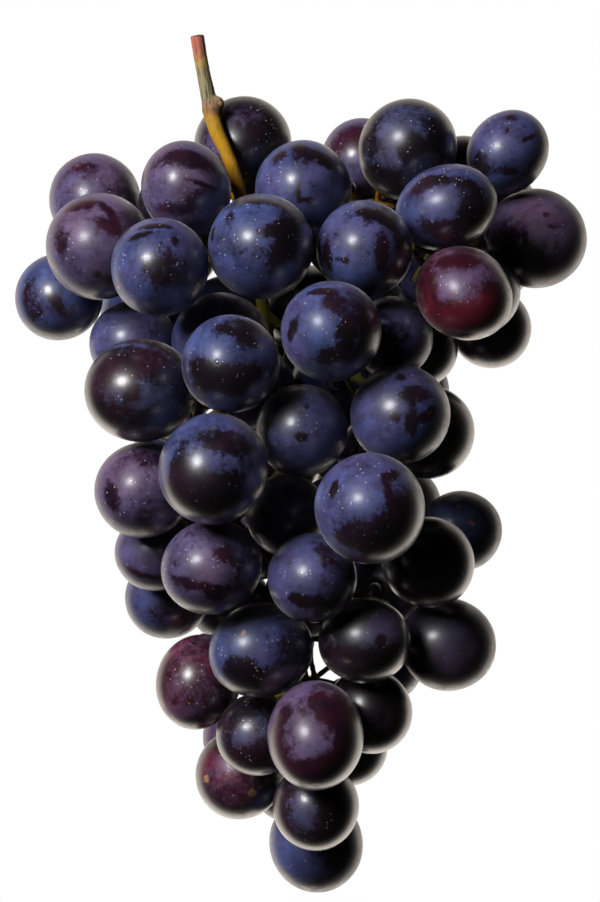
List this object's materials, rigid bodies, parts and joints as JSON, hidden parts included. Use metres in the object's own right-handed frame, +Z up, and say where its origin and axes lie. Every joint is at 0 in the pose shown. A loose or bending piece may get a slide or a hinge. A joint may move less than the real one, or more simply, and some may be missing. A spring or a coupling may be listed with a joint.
{
  "type": "bunch of black grapes",
  "caption": "Tapering, two-shouldered bunch of dark, bloom-covered grapes, crowded on a branching stalk that ends in a short bare stem with a clean cut.",
  "frame": {"origin": "middle of the flat cut end of the stem, at the top of the hanging bunch", "axes": "+Z up along the bunch, against the way it hangs; +X to the right and -Y out of the fuller face"},
  "size_m": [0.1375, 0.111, 0.2071],
  "materials": {
    "stalk": "fresh green to yellow-ochre grape stalk, faintly ridged lengthwise, pinkish near the cut, brown at the scars and at the cut rim",
    "blue_skin": "black grape skin under a mostly whole blue-grey waxy bloom, dark and glossy where the bloom is rubbed off, with fine pale specks",
    "purple_skin": "violet grape skin under a thin, patchy bloom, semi-gloss",
    "black_skin": "near-black grape skin, glossy, with streaks of bloom",
    "red_skin": "wine-red grape skin, glossy, with little bloom and some tan scars"
  },
  "bodies": {
    "root": {"stem": "stalk", "left_berry_1": "purple_skin", "left_berry_2": "purple_skin", "left_berry_3": "blue_skin", "left_berry_4": "blue_skin", "left_berry_5": "purple_skin", "left_berry_6": "black_skin", "right_berry_1": "black_skin", "right_berry_2": "blue_skin", "right_berry_3": "purple_skin", "right_berry_4": "black_skin", "right_berry_5": "blue_skin", "right_berry_6": "blue_skin", "right_berry_7": "purple_skin", "right_berry_8": "red_skin", "right_berry_9": "black_skin", "right_berry_10": "black_skin", "body_berry_1": "blue_skin", "body_berry_2": "blue_skin", "body_berry_3": "blue_skin", "body_berry_4": "blue_skin", "body_berry_5": "blue_skin", "body_berry_6": "blue_skin", "body_berry_7": "black_skin", "body_berry_8": "blue_skin", "body_berry_9": "black_skin", "body_berry_10": "blue_skin", "body_berry_11": "purple_skin", "body_berry_12": "blue_skin", "body_berry_13": "blue_skin", "body_berry_14": "black_skin", "body_berry_15": "purple_skin", "body_berry_16": "blue_skin", "body_berry_17": "blue_skin", "body_berry_18": "purple_skin", "body_berry_19": "purple_skin", "body_berry_20": "blue_skin", "tail_berry_1": "blue_skin", "tail_berry_2": "black_skin", "tail_berry_3": "purple_skin", "tail_berry_4": "black_skin", "tail_berry_5": "blue_skin", "tail_berry_6": "red_skin", "tail_berry_7": "black_skin", "tail_berry_8": "purple_skin", "tail_berry_9": "black_skin", "tail_berry_10": "red_skin", "tail_berry_11": "black_skin", "tail_berry_12": "blue_skin", "tail_berry_13": "black_skin", "rear_berries_1": "blue_skin", "rear_berries_2": "black_skin", "rear_berries_3": "black_skin", "rear_berries_4": "blue_skin", "rear_berries_5": "blue_skin", "rear_berries_6": "black_skin", "rear_berries_7": "purple_skin", "rear_berries_8": "purple_skin", "rear_berries_9": "blue_skin", "rear_berries_10": "purple_skin"}
  },
  "joints": []
}
